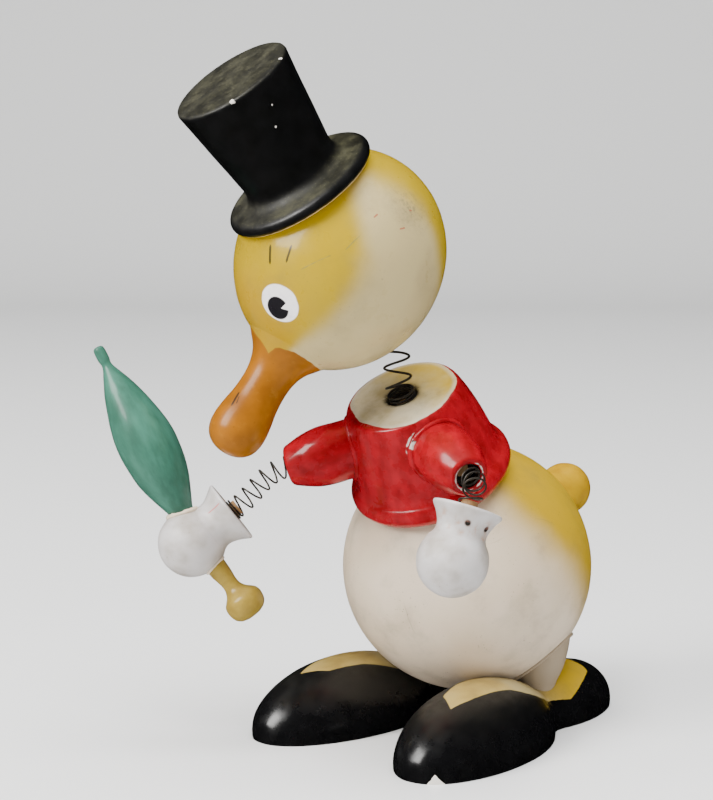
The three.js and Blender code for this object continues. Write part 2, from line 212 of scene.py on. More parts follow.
def tube(name, path, radius, material, body, sides=12, caps=True):
    """A round wire along path points in figure mm."""
    p = np.asarray(path, float)
    t = np.gradient(p, axis=0)
    t /= np.linalg.norm(t, axis=1)[:, None]
    n = np.cross(t[0], [0.31, 0.77, 0.55])
    n /= np.linalg.norm(n)
    rings = []
    ang = np.linspace(0, 2 * math.pi, sides, endpoint=False)
    for i in range(len(p)):
        n = n - n @ t[i] * t[i]
        n /= np.linalg.norm(n)
        b = np.cross(t[i], n)
        rings.append(p[i] + radius * (np.outer(np.cos(ang), n) + np.outer(np.sin(ang), b)))
    verts = np.vstack([p[:1], *rings, p[-1:]]) if caps else np.vstack(rings)
    faces = ring_faces(len(p), sides, caps, caps)
    return mesh_object(name, verts, faces, material, body)


# ---- materials ----
def srgb(r, g, b):
    return tuple(((c / 255) / 12.92 if c <= 10 else ((c / 255 + 0.055) / 1.055) ** 2.4)
                 for c in (r, g, b)) + (1.0,)


class Mat:
    """A Principled material written as a chain of small node calls."""

    def __init__(self, name, rough=0.4, coat=0.0, coat_rough=0.1, metal=0.0, spec=0.5):
        self.mat = bpy.data.materials.new(name)
        self.mat.use_nodes = True
        self.nt = self.mat.node_tree
        self.nt.nodes.clear()
        out = self.nt.nodes.new("ShaderNodeOutputMaterial")
        self.bsdf = self.nt.nodes.new("ShaderNodeBsdfPrincipled")
        self.nt.links.new(self.bsdf.outputs[0], out.inputs[0])
        for key, value in (("Roughness", rough), ("Coat Weight", coat), ("Coat Roughness", coat_rough),
                           ("Metallic", metal), ("Specular IOR Level", spec)):
            self.bsdf.inputs[key].default_value = value
        self.where = self.vec("local")

    def node(self, kind, **settings):
        n = self.nt.nodes.new("ShaderNode" + kind)
        for key, value in settings.items():
            setattr(n, key, value)
        return n

    def put(self, socket, value):
        if isinstance(value, bpy.types.NodeSocket):
            self.nt.links.new(value, socket)
        else:
            socket.default_value = value

    def vec(self, name):
        return self.node("Attribute", attribute_name=name).outputs["Vector"]

    def num(self, name):
        return self.node("Attribute", attribute_name=name).outputs["Fac"]

    def stretched(self, x, y, z):
        n = self.node("Mapping")
        self.put(n.inputs["Vector"], self.where)
        n.inputs["Scale"].default_value = (x, y, z)
        return n.outputs[0]

    def noise(self, mm, detail=3.0, rough=0.55, where=None, warp=0.0):
        n = self.node("TexNoise")
        self.put(n.inputs["Vector"], self.where if where is None else where)
        for key, value in (("Scale", 1000.0 / mm), ("Detail", detail), ("Roughness", rough),
                           ("Distortion", warp)):
            n.inputs[key].default_value = value
        return n.outputs["Fac"]

    def uneven(self, mm, detail, amount):
        """Noise centred on zero, to bend an edge or a blend."""
        return self.math("MULTIPLY", self.math("SUBTRACT", self.noise(mm, detail), 0.5), amount)

    def math(self, op, a, b=0.0, clamp=False):
        n = self.node("Math", operation=op, use_clamp=clamp)
        self.put(n.inputs[0], a)
        self.put(n.inputs[1], b)
        return n.outputs[0]

    def ramp(self, x, lo, hi, a=0.0, b=1.0):
        """Smooth step of x from lo to hi, giving a to b."""
        n = self.node("MapRange", interpolation_type="SMOOTHSTEP")
        self.put(n.inputs[0], x)
        for i, value in enumerate((lo, hi, a, b)):
            n.inputs[i + 1].default_value = value
        return n.outputs[0]

    def mix(self, fac, a, b, blend="MIX"):
        n = self.node("Mix", data_type="RGBA", blend_type=blend)
        self.put(n.inputs[0], fac)
        self.put(n.inputs[6], a)
        self.put(n.inputs[7], b)
        return n.outputs[2]

    def specks(self, mm, size, share):
        """Scattered dots about `size` of a cell of `mm`, in `share` of the cells."""
        n = self.node("TexVoronoi", feature="F1")
        self.put(n.inputs["Vector"], self.where)
        n.inputs["Scale"].default_value = 1000.0 / mm
        pick = self.node("SeparateColor")
        self.put(pick.inputs[0], n.outputs["Color"])
        near = self.ramp(n.outputs["Distance"], size * 0.6, size, 1.0, 0.0)
        some = self.math("LESS_THAN", pick.outputs[0], share)
        return self.math("MULTIPLY", near, some)

    def cracks(self, mm, width):
        n = self.node("TexVoronoi", feature="DISTANCE_TO_EDGE")
        bend = self.node("Mix", data_type="VECTOR")
        bend.inputs[0].default_value = 0.35
        wave = self.node("TexNoise")
        self.put(wave.inputs["Vector"], self.where)
        wave.inputs["Scale"].default_value = 700.0 / mm
        wave.inputs["Detail"].default_value = 4.0
        scaled = self.node("VectorMath", operation="SCALE")
        self.put(scaled.inputs[0], wave.outputs["Color"])
        scaled.inputs["Scale"].default_value = mm * MM
        self.put(bend.inputs[4], self.where)
        self.put(bend.inputs[5], scaled.outputs[0])
        self.put(n.inputs["Vector"], bend.outputs[1])
        n.inputs["Scale"].default_value = 1500.0 / mm
        return self.ramp(n.outputs["Distance"], 0.0, width, 1.0, 0.0)

    def edge(self, name, soft=0.07, rag=0.25, mm=1.1):
        """1 where the field `name` is below zero, with a slightly ragged brushed edge."""
        wave = self.uneven(mm, 2.0, rag)
        return self.ramp(self.math("ADD", self.num(name), wave), -soft, soft, 1.0, 0.0)

    def colour(self, value):
        self.put(self.bsdf.inputs["Base Color"], value)

    def rough(self, value):
        self.put(self.bsdf.inputs["Roughness"], value)

    def bump(self, height, mm, strength=1.0):
        n = self.node("Bump")
        n.inputs["Strength"].default_value = strength
        n.inputs["Distance"].default_value = mm * MM
        self.put(n.inputs["Height"], height)
        self.put(self.bsdf.inputs["Normal"], n.outputs[0])


CREAM, CREAM_DARK = srgb(206, 189, 167), srgb(182, 162, 133)
YELLOW = srgb(166, 134, 8)
GRIME = srgb(92, 84, 66)
GESSO = srgb(236, 230, 220)


def age(m, colour, grime=0.35, specks=0.5, dark=GRIME):
    """Handling dirt: soft patches and two sizes of dark specks."""
    patch = m.ramp(m.noise(9.0, 5.0, 0.62), 0.48, 0.78, 0.0, grime)
    colour = m.mix(patch, colour, dark)
    clusters = m.ramp(m.noise(13.0, 3.0), 0.42, 0.68, 0.12, 1.0)
    dots = m.math("MULTIPLY", m.specks(0.9, 0.2, 0.35), clusters)
    big = m.math("MULTIPLY", m.specks(3.2, 0.09, 0.22), clusters)
    dots = m.math("MULTIPLY", m.math("MAXIMUM", dots, big), specks)
    return m.mix(dots, colour, dark)


def orange_peel(m, strength=0.35, mm=0.06, extra=None):
    """The slight unevenness of thick dipped lacquer, with dust nibs in it."""
    height = m.math("ADD", m.math("MULTIPLY", m.noise(6.0, 2.0), 1.0),
                    m.math("MULTIPLY", m.noise(0.8, 3.0), 0.16))
    if extra is not None:
        height = m.math("ADD", height, extra)
    m.bump(height, mm, strength)


def cream_paint(name, yellow=False, dirt=0.0):
    m = Mat(name, coat=0.12, coat_rough=0.3, spec=0.2)
    base = m.mix(m.ramp(m.noise(22.0, 3.0), 0.35, 0.7, 0.0, 0.45), CREAM, CREAM_DARK)
    if yellow:
        blend = m.math("ADD", m.num("yellow"), m.uneven(14.0, 4.0, 0.35))
        base = m.mix(m.ramp(blend, -0.42, 0.62), base, YELLOW)
    # dirt darkens the whole piece towards a brown cream; on the legs this is painted shade under the belly, with some
    # dirt
    if dirt:
        base = m.mix(dirt, base, srgb(104, 88, 60))
    hair = m.math("MULTIPLY", m.cracks(26.0, 0.008), m.ramp(m.noise(17.0, 2.0), 0.6, 0.7, 0.0, 0.25))
    base = m.mix(hair, base, GRIME)
    m.colour(age(m, base, 0.3, 0.55))
    m.rough(m.ramp(m.noise(5.0, 4.0), 0.3, 0.75, 0.36, 0.55))
    orange_peel(m, 0.4, 0.07)
    return m.mat


def gloss_paint(name, light, dark, rough, streak=None, grime=0.12, specks=0.3, coat=0.2, dust=0.0, chips=()):
    m = Mat(name, coat=coat, coat_rough=0.12, spec=0.2)
    mix = m.noise(4.0, 4.0, 0.6, where=m.stretched(*streak) if streak else None)
    base = m.mix(m.ramp(mix, 0.3, 0.72), light, dark)
    base = age(m, base, grime, specks, srgb(60, 52, 44))
    rough_now = m.ramp(m.noise(3.0, 4.0), 0.3, 0.8, rough, rough + 0.16)
    # the dust film is an olive cover of dust; on the hat its olive tint is also a painted reflection
    if dust:
        film = m.math("MULTIPLY", m.num("dust"), m.ramp(m.noise(5.0, 5.0, 0.7), 0.3, 0.8, 0.5, 1.3))
        grains = m.math("MAXIMUM", m.specks(0.55, 0.32, 0.6), m.math("MULTIPLY", film, 0.55))
        cover = m.math("MULTIPLY", m.math("MULTIPLY", film, grains), dust, True)
        base = m.mix(cover, base, srgb(84, 82, 60))
        rough_now = m.math("ADD", rough_now, m.math("MULTIPLY", film, 0.35), True)
    for chip in chips:
        hole = m.edge(chip, 0.05, 0.9, 1.6)
        base = m.mix(hole, base, GESSO)
        rough_now = m.math("MAXIMUM", rough_now, m.math("MULTIPLY", hole, 0.7))
    m.colour(base)
    m.rough(rough_now)
    orange_peel(m, 0.3, 0.05)
    return m


def wood_paint(name, tone=(170, 128, 82)):
    m = Mat(name, rough=0.72)
    rings = m.noise(1.2, 4.0, 0.6, where=m.stretched(1, 1, 0.12))
    base = m.mix(m.ramp(rings, 0.35, 0.7), srgb(*tone), srgb(*(int(c * 0.55) for c in tone)))
    m.colour(age(m, base, 0.4, 0.6))
    m.bump(rings, 0.08, 0.5)
    return m.mat


def wire_steel(name):
    m = Mat(name, metal=0.7, rough=0.42)
    rust = m.ramp(m.noise(1.6, 5.0, 0.7), 0.46, 0.7, 0.0, 0.75)
    m.colour(m.mix(rust, srgb(66, 63, 58), srgb(40, 28, 20)))
    m.rough(m.ramp(m.noise(0.9, 3.0), 0.3, 0.8, 0.3, 0.62))
    m.bump(m.noise(0.35, 3.0), 0.02, 0.6)
    return m.mat


def smooth_step(x, lo, hi):
    t = np.clip((x - lo) / (hi - lo), 0, 1)
    return t * t * (3 - 2 * t)


def arc(cr, cz, rad, a0, a1, n=24):
    a = np.radians(np.linspace(a0, a1, n + 1))
    return [(cr + rad * math.cos(t), cz + rad * math.sin(t)) for t in a]


def crisp(ob, deg=38):
    ob.data.set_sharp_from_angle(angle=math.radians(deg))


# Local frames for hand-painted marks. u, v, w are in mm from the mark's centre.
def add_mark(m, where, centre, eu, ev):
    eu = unit(eu)
    w = unit(np.cross(eu, unit(ev)))
    ev = np.cross(w, eu)
    off = m.node("VectorMath", operation="SUBTRACT")
    m.put(off.inputs[0], where)
    off.inputs[1].default_value = tuple(np.asarray(centre, float) * MM)
    out = []
    for e in (eu, ev, w):
        dot = m.node("VectorMath", operation="DOT_PRODUCT")
        m.put(dot.inputs[0], off.outputs[0])
        dot.inputs[1].default_value = tuple(e * 1000.0)
        out.append(dot.outputs["Value"])
    return out


def oval(m, u, v, cu, cv, ru, rv, soft=0.03):
    """1 inside an oval on the mark's plane."""
    x = m.math("DIVIDE", m.math("SUBTRACT", u, cu), ru)
    y = m.math("DIVIDE", m.math("SUBTRACT", v, cv), rv)
    d = m.math("ADD", m.math("MULTIPLY", x, x), m.math("MULTIPLY", y, y))
    return m.ramp(d, 1 - soft * 2, 1 + soft * 2, 1.0, 0.0)


def stroke(m, where, a, b, width, normal, ragged=0.12, deep=3.0):
    """1 along a brushed line from a to b, tapering at its ends."""
    a, b = np.asarray(a, float), np.asarray(b, float)
    u, v, w = add_mark(m, where, (a + b) / 2, b - a, np.cross(normal, b - a))
    half = np.linalg.norm(b - a) / 2
    wave = m.uneven(0.9, 2.0, ragged)
    thin = m.math("ADD", m.math("ABSOLUTE", v), wave)
    taper = m.ramp(m.math("ABSOLUTE", u), half * 0.7, half, width / 2, width * 0.2)
    line = m.ramp(m.math("SUBTRACT", thin, taper), -0.04, 0.04, 1.0, 0.0)
    line = m.math("MULTIPLY", line, m.math("LESS_THAN", m.math("ABSOLUTE", u), half))
    return m.math("MULTIPLY", line, m.math("LESS_THAN", m.math("ABSOLUTE", w), deep))


# ---- head ----
HEAD_R, HEAD_LONG = 23.4, 25.7


def on_head(s, deg):
    """Point and outward normal on the egg, s along the bill, deg round from the hat to the left."""
    r = HEAD_R * math.sqrt(max(0.0, 1 - (s / HEAD_LONG) ** 2))
    if s > 25:
        r = float(np.interp(s, [25, 28.4, 33.5, 37.3, 41, 43.8, 46.3], [8.3, 6.1, 5.3, 5.55, 6.2, 6.5, 6.3]))
    a = math.radians(deg)
    p = np.array([r * math.cos(a), -r * math.sin(a), s])
    n = np.array([p[0] / HEAD_R ** 2, p[1] / HEAD_R ** 2, s / HEAD_LONG ** 2]) if s < 24 else \
        np.array([p[0], p[1], 0.0])
    return p, unit(n)


def strokes(m, where, lines, ragged=0.12):
    """1 along any of the lines on the egg, each given as (s, deg), (s, deg) and a width."""
    ink = None
    for start, end, width in lines:
        (p, n), (q, _) = on_head(*start), on_head(*end)
        line = stroke(m, where, p, q, width, n, ragged)
        ink = line if ink is None else m.math("MAXIMUM", ink, line)
    return ink


def head_paint():
    m = Mat("head_paint", coat=0.25, coat_rough=0.12, spec=0.2)
    where = m.where
    blend = m.math("ADD", m.num("yellow"), m.uneven(12.0, 4.0, 0.5))
    base = m.mix(m.ramp(m.noise(20.0, 3.0), 0.35, 0.7, 0.0, 0.5), srgb(174, 157, 112), srgb(154, 136, 92))
    base = m.mix(m.ramp(blend, 0.0, 1.0), base, srgb(160, 133, 0))
    deep = m.ramp(m.math("ADD", m.num("deep"), m.math("MULTIPLY", m.noise(8.0, 3.0), 0.3)), 0.35, 1.2, 0.0, 0.8)
    base = m.mix(deep, base, srgb(156, 120, 0))
    base = age(m, base, 0.22, 0.45)
    soot = m.math("MULTIPLY", m.num("soot"), m.ramp(m.noise(1.0, 5.0, 0.75), 0.42, 0.7))
    base = m.mix(m.math("MULTIPLY", soot, 0.75), base, GRIME)
    # bill
    bill = m.edge("bill", 0.06, 0.5, 2.2)
    orange = m.mix(m.ramp(m.noise(7.0, 3.0), 0.3, 0.75), srgb(142, 86, 8), srgb(120, 70, 4))
    orange = m.mix(m.ramp(m.noise(2.2, 5.0, 0.7), 0.55, 0.8, 0.0, 0.3), orange, srgb(170, 122, 40))
    orange = age(m, orange, 0.12, 0.4, srgb(64, 38, 10))
    base = m.mix(bill, base, orange)
    # eyes, the same on both sides
    parts = m.node("SeparateXYZ")
    m.put(parts.inputs[0], where)
    both = m.node("CombineXYZ")
    m.put(both.inputs[0], parts.outputs[0])
    m.put(both.inputs[1], m.math("MULTIPLY", m.math("ABSOLUTE", parts.outputs[1]), -1.0))
    m.put(both.inputs[2], parts.outputs[2])
    both = both.outputs[0]
    c, n = on_head(17.3, 41.5)
    to_bill = np.array([0, 0, 1.0]) - n[2] * n
    u, v, w = add_mark(m, both, c, to_bill, np.cross(n, to_bill))
    wob = m.uneven(3.0, 1.0, 0.5)
    uu, vv = m.math("ADD", u, wob), m.math("SUBTRACT", v, wob)
    near = m.math("LESS_THAN", m.math("ABSOLUTE", w), 6.0)
    white = m.math("MULTIPLY", oval(m, uu, vv, 0.1, 0.0, 4.3, 4.75), near)
    ring = m.math("MULTIPLY", oval(m, uu, vv, 0.1, 0.0, 4.55, 5.0, 0.05), near)
    base = m.mix(m.math("MULTIPLY", ring, 0.35), base, srgb(150, 126, 60))
    eye_white = m.mix(m.ramp(m.noise(1.4, 4.0), 0.45, 0.75, 0.0, 0.25), srgb(230, 226, 226), srgb(150, 140, 170))
    base = m.mix(white, base, eye_white)
    pupil = oval(m, u, v, 1.35, -0.1, 2.65, 2.75, 0.05)
    # pie cut: a wedge from just off the pupil's middle, opening back towards the chick's cheek
    cut_at = (0.95, 0.75)
    x = m.math("SUBTRACT", u, cut_at[0])
    y = m.math("SUBTRACT", v, cut_at[1])
    d = unit([-0.62, 0.78])
    fwd = m.math("ADD", m.math("MULTIPLY", x, d[0]), m.math("MULTIPLY", y, d[1]))
    off = m.math("ABSOLUTE", m.math("SUBTRACT", m.math("MULTIPLY", x, d[1]), m.math("MULTIPLY", y, d[0])))
    wedge = m.ramp(m.math("SUBTRACT", off, m.math("MULTIPLY", fwd, 0.52)), -0.06, 0.06, 1.0, 0.0)
    pupil = m.math("MULTIPLY", m.math("MULTIPLY", pupil, m.math("SUBTRACT", 1.0, wedge)), near)
    base = m.mix(pupil, base, srgb(24, 22, 26))
    brows = strokes(m, both, (((7.4, 22.6), (11.1, 27.0), 0.6), ((5.5, 35.8), (9.3, 37.2), 0.5)))
    nostril = strokes(m, where, (((37.6, 17.0), (41.2, 24.0), 0.5), ((38.4, 25.0), (40.2, 31.0), 0.24)))
    base = m.mix(m.math("MULTIPLY", m.math("MAXIMUM", brows, nostril), 0.9), base, srgb(28, 24, 20))
    scratch = strokes(m, where, (((9.2, 47.0), (6.0, 53.0), 0.2), ((6.0, 53.0), (3.4, 58.0), 0.16),
                                 ((1.0, 63.0), (-3.8, 66.0), 0.22)), 0.3)
    base = m.mix(m.math("MULTIPLY", scratch, 0.6), base, srgb(96, 104, 70))
    pink = strokes(m, where, (((-8.6, 67.5), (-9.8, 68.5), 0.34), ((-9.6, 84.0), (-10.6, 87.0), 0.34),
                              ((-14.6, 86.0), (-15.0, 88.0), 0.34)), 0.3)
    base = m.mix(m.math("MULTIPLY", pink, 0.7), base, srgb(150, 52, 44))
    m.colour(base)
    rough = m.ramp(m.noise(4.0, 4.0), 0.3, 0.75, 0.26, 0.44)
    m.rough(m.mix(bill, rough, (0.34, 0.34, 0.34, 1.0)))
    m.put(m.bsdf.inputs["Coat Weight"], m.ramp(bill, 0.0, 1.0, 0.25, 0.12))
    orange_peel(m, 0.4, 0.07, m.math("MULTIPLY", m.math("ADD", white, bill), 0.5))
    return m.mat


def make_head():
    egg = [(HEAD_R * math.sin(t), -HEAD_LONG * math.cos(t)) for t in np.radians(np.linspace(0, 155.5, 120))]
    egg[0] = (0.0, -HEAD_LONG)
    prof = profile(egg + [(8.3, 25.0), (7.0, 26.6), (6.1, 28.4), (5.5, 30.8), (5.3, 33.5), (5.55, 37.3), (6.2, 41),
                          (6.5, 43.8), (6.3, 46.3), (5.4, 48.4), (3.6, 50), (1.6, 50.7), (0, 50.85)])
    head, _ = lathe("head_turning", prof, HEAD, head_paint(), None, seg=220, uneven=0.05, size=22, seed=2.0)
    neck_top = HEAD_C - 23.55 * HEAD_UP
    bore, _ = lathe("bore", [(0, -3), (3.6, -3), (3.6, 6), (0, 6)], Axis(neck_top, HEAD_UP), head.data.materials[0],
                    None, seg=48, uneven=0)
    cut = head.modifiers.new("bore", "BOOLEAN")
    cut.object, cut.operation, cut.solver = bore, "DIFFERENCE", "EXACT"
    bpy.context.view_layer.update()
    me = bpy.data.meshes.new_from_object(head.evaluated_get(bpy.context.evaluated_depsgraph_get()))
    head.modifiers.clear()
    head.data = me
    bpy.data.objects.remove(bore)
    co = np.array([v.co for v in me.vertices]) / MM - SHIFT
    local = HEAD.into(co)
    at = me.attributes.get("local") or me.attributes.new("local", "FLOAT_VECTOR", "POINT")
    at.data.foreach_set("vector", (local * MM).ravel())
    s = local[:, 2]
    a = np.degrees(np.arctan2(-local[:, 1], local[:, 0]))
    edge = np.interp(a, [-180, -122, -75, -68, -62, -50, -20, 0, 20, 33, 38, 42, 47, 54, 75, 122, 180],
                     [24.1, 24.1, 24.2, 24.9, 25.9, 25.2, 23.6, 24.6, 25.7, 26.6, 27.0, 26.3, 25.5, 25.0, 24.1, 24.0,
                      24.1])
    field(head, "bill", (edge - s) * 1.1)
    side = np.interp(s, [-20, -14, -6, 0, 10, 19, 25], [30, 42, 60, 72, 76, 72, 66])
    back = np.interp(np.abs(a), [0, 54, 80, 102, 121, 140, 180], [-14, -17.5, -18, -17, -11, -5, -4])
    field(head, "yellow", smooth_step(side - np.abs(a), -16, 10) + 0.9 * smooth_step(back - s, -6, 4))
    top = np.cos(np.radians(a - 15))
    field(head, "deep", smooth_step(s, 4, 24) * smooth_step(top, 0.2, 1.0) + 0.5 * smooth_step(-s, 17, 26))
    p, _ = on_head(-15.5, 86)
    field(head, "soot", np.clip(1 - np.linalg.norm((local - p) * [1, 1, 1.3], axis=1) / 8.0, 0, 1))
    crisp(head)
    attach(head, "head")
    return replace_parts(head, "head")


# ---- hat ----
def hat_paint():
    # The olive dust film on the top and brim is dust, and its tint and strength also make a painted reflection.
    m = gloss_paint("hat_paint", srgb(14, 14, 15), srgb(9, 9, 9), 0.32, grime=0.02, specks=0.05, coat=0.0, dust=0.8)
    m.bsdf.inputs["Specular IOR Level"].default_value = 0.5
    base = m.bsdf.inputs["Base Color"].links[0].from_socket
    under = m.edge("under", 0.12, 0.35, 1.5)
    base = m.mix(under, base, srgb(176, 150, 104))
    flecks = None
    spots = [((13.6, 130, 48.9), 0.5), ((13.5, 63, 48.7), 0.6), ((12.6, 84, 38.5), 0.26), ((11.6, 88, 27.4), 0.25),
             ((12.4, 74, 34.5), 0.18), ((13.1, 92, 43.0), 0.2)]
    for (r, deg, z), size in spots:
        c = [r * math.cos(math.radians(deg)), r * math.sin(math.radians(deg)), z]
        n = m.node("VectorMath", operation="DISTANCE")
        m.put(n.inputs[0], m.where)
        n.inputs[1].default_value = tuple(np.array(c) * MM)
        d = m.math("ADD", m.math("MULTIPLY", n.outputs["Value"], 1000.0),
                   m.uneven(0.7, 3.0, size * 1.6))
        spot = m.ramp(d, size * 0.8, size, 1.0, 0.0)
        flecks = spot if flecks is None else m.math("MAXIMUM", flecks, spot)
    m.colour(m.mix(m.math("MULTIPLY", flecks, 0.85), base, srgb(214, 208, 198)))
    return m.mat


def make_hat():
    prof = profile([(0, 15), (13.2, 15), (13.4, 18.8)], [(16.2, 18.75), (17.2, 18.95), (17.8, 19.7), (17.85, 20.5),
                   (17.4, 21.3), (16.4, 21.75), (14.4, 22.0), (12.7, 22.5), (11.6, 23.6), (11.15, 25.2), (11.5, 29),
                   (12.5, 37), (13.7, 47.0), (13.85, 48.0)], [(13.7, 48.65), (13.2, 48.95), (12.6, 49.0)], [(0, 48.9)])
    hat, local = lathe("top_hat", prof, HAT, hat_paint(), "head", seg=180, uneven=0.06, size=24, seed=5.0)
    r = np.hypot(local[:, 0], local[:, 1])
    field(hat, "under", local[:, 2] - 19.25)
    # dust: the top face and the brim's upper face get an olive film, part dust and part painted reflection
    top = smooth_step(local[:, 2], 48.3, 48.8) * 0.9
    brim = smooth_step(local[:, 2], 21.2, 21.9) * smooth_step(-local[:, 2], -25.0, -22.5) * 0.9
    field(hat, "dust", np.maximum(top * (1 - 0.3 * r / 14), brim))
    crisp(hat)
    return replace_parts(hat, "hat")


# ---- body ----
def make_belly():
    belly, local = lathe("belly_ball", [(30 * math.cos(t), 30 * math.sin(t)) for t in np.radians(np.linspace(-90, 90,
            150))],
                         CHEST, cream_paint("belly_paint",
                                 yellow=True), "torso", seg=260, uneven=0.07, size=30, seed=1.0)
    d = CHEST.out(local) - BELLY
    d /= np.linalg.norm(d, axis=1)[:, None]
    toward = d @ unit([0.2, 0.72, 0.66])
    field(belly, "yellow", (toward - 0.2) * 2.1)
    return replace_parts(belly, "belly")


def red_paint(name, chest=False):
    m = Mat(name, coat=0.35, coat_rough=0.12, spec=0.2)
    brushed = m.noise(3.2, 5.0, 0.6, where=m.stretched(1, 1, 0.55))
    base = m.mix(m.ramp(brushed, 0.32, 0.7), srgb(156, 9, 26), srgb(124, 7, 15))
    base = m.mix(m.ramp(m.noise(7.0, 4.0, 0.7), 0.52, 0.75, 0.0, 0.38), base, srgb(98, 6, 11))
    base = age(m, base, 0.1, 0.45, srgb(30, 8, 8))
    rough = m.ramp(m.noise(3.0, 4.0), 0.3, 0.75, 0.2, 0.4)
    extra = None
    if chest:
        disc = m.edge("disc", 0.05, 0.35, 1.6)
        cream = m.mix(m.ramp(m.noise(8.0, 4.0), 0.35, 0.7), srgb(206, 194, 163), srgb(172, 156, 116))
        cream = m.mix(m.math("MULTIPLY", m.num("back"), m.ramp(m.noise(6.0, 3.0), 0.2, 0.8, 0.6, 1.0)), cream,
                      srgb(190, 156, 34))
        # lip: a paler band just inside the disc's edge, a painted highlight along the rounded rim
        lip = m.ramp(m.num("disc"), -1.5, -0.3, 0.0, 0.5)
        cream = m.mix(lip, cream, srgb(196, 190, 176))
        # soot here darkens the walls of the neck hole and the disc round it: painted shade down the hole, dirt with
        # painted shade round its mouth
        soot = m.math("MULTIPLY", m.num("hole"), m.ramp(m.noise(1.6, 4.0, 0.7), 0.25, 0.6))
        cream = m.mix(soot, age(m, cream, 0.4, 0.5), srgb(56, 48, 36))
        base = m.mix(disc, base, cream)
        rough = m.mix(disc, rough, (0.4, 0.4, 0.4, 1.0))
        extra = m.math("MULTIPLY", disc, -0.6)
    # the inside of a sleeve's bore is painted near black: painted shade in the hole
    base = m.mix(m.num("bore"), base, srgb(14, 11, 10))
    worn = m.edge("worn", 0.05, 0.9, 2.2)
    base = m.mix(worn, base, m.mix(m.ramp(m.noise(2.2, 2.0), 0.5, 0.62), srgb(196, 184, 176), srgb(70, 32, 28)))
    m.colour(base)
    m.rough(m.mix(worn, rough, (0.7, 0.7, 0.7, 1.0)))
    orange_peel(m, 0.45, 0.07, extra)
    return m.mat


def chest_radius(h):
    return np.interp(h, [26, 29, 31.6, 33, 35, 38, 43.7, 48.6, 50.6, 51.1], [16.9, 19.5, 18.0, 17.5, 17.2, 16.75,
            15.7, 14.3, 13.6, 13.1])


def make_chest():
    hem = arc(16.3, 29.0, 3.2, -75, 52, 20)
    prof = profile([(0, 22), (14, 22)], [(15.6, 25.2)] + hem + [(17.75, 32.4), (17.35, 34), (16.75, 38), (15.7, 43.7),
                   (14.4, 48.6), (13.75, 50.3), (13.3, 50.85), (12.7, 51.08), (11.6, 51.1)], [(4.6, 51.05),
                           (3.8, 50.8),
                   (3.6, 50.2)], [(3.6, 45.2)], [(0, 45)])
    chest, local = lathe("sweater_chest", prof, CHEST, red_paint("sweater_paint", True), "torso", seg=200, uneven=0.09,
                         size=17, seed=3.0)
    r, h = np.hypot(local[:, 0], local[:, 1]), local[:, 2]
    phi = np.degrees(np.arctan2(local[:, 1], local[:, 0]))
    rim = np.interp(phi, [-180, -120, -63, -50, -40, -22, -5, 8, 23, 44, 60, 79, 100, 125, 150, 180],
                    [13.2, 12.9, 12.7, 12.0, 11.7, 11.9, 11.6, 12.1, 12.8, 13.2, 13.0, 13.1, 12.8, 13.3, 12.8, 13.2])
    depth = np.where(h > 49.5, 0.0, 49.5 - h)
    field(chest, "disc", np.where(h > 48.2, r - rim + depth, 3.0))
    field(chest, "back", smooth_step(-local[:, 0] + 0.3 * local[:, 1], -3.0, 9.0))
    # hole: 1 down the neck hole and fading out round it on the disc, where the paint carries painted shade and dirt
    field(chest, "hole", np.where(h > 50.5, smooth_step(-r, -5.2, -3.7), 1.0) * (h > 44))
    base = SLEEVE["left"]
    q = base.into(CHEST.out(local))
    ring = np.hypot(q[:, 0], q[:, 1]) - 8.1
    around = np.degrees(np.arctan2(q[:, 1], q[:, 0]))
    lean = np.abs((around - GAP_AT + 180) % 360 - 180)
    gap = np.maximum(np.abs(ring) - 0.16, (lean - 20) * 0.14)
    field(chest, "worn", np.where(q[:, 2] < 24, gap, 5.0))
    crisp(chest)
    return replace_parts(chest, "chest")


GAP_AT = -75.0        # where the filler shows round the left sleeve, in degrees round its axis


def make_sleeve(side, seed):
    prof = profile([(0, 7.2), (3.0, 7.0)], [(3.0, 0.6), (3.15, 0.2), (3.5, 0.0)], [(4.1, 0.0), (4.6, 0.3), (4.95,
            0.95),
                   (5.4, 2.1), (6.1, 4.0), (6.72, 6.3), (7.02, 8.6), (7.1, 11), (7.0, 14), (7.0, 21.5)], [(0, 21.5)])
    ob, local = lathe(side + "_sleeve_barrel", prof, SLEEVE[side], red_paint(side + "_sleeve_paint"), "torso", seg=120,
                      uneven=0.12, size=11, seed=seed)
    r, t = np.hypot(local[:, 0], local[:, 1]), local[:, 2]
    lip = np.abs(r - 3.35) - 0.1 + np.maximum(t - 0.5, 0)
    field(ob, "worn", np.where(t < 4, lip, 3.0))
    # bore marks the inside of the mouth's hole, painted near black as painted shade
    field(ob, "bore", ((r < 3.4) & (t > 0.45) & (t < 8)) * 1.0)
    crisp(ob)
    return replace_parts(ob, side + "_sleeve")


def seam(axis, radius, inside, t0, t1, n=96):
    """The ring where a turned piece of `radius` about `axis` runs into another shape."""
    out = []
    for a in np.linspace(0, 2 * math.pi, n, endpoint=False):
        ts = np.linspace(t0, t1, 240)
        pts = axis.out(np.stack([np.full(len(ts), radius * np.cos(a)), np.full(len(ts), radius * np.sin(a)), ts], 1))
        hit = np.flatnonzero(inside(pts))
        out.append(pts[hit[0]] if len(hit) else pts[-1])
    return np.array(out)


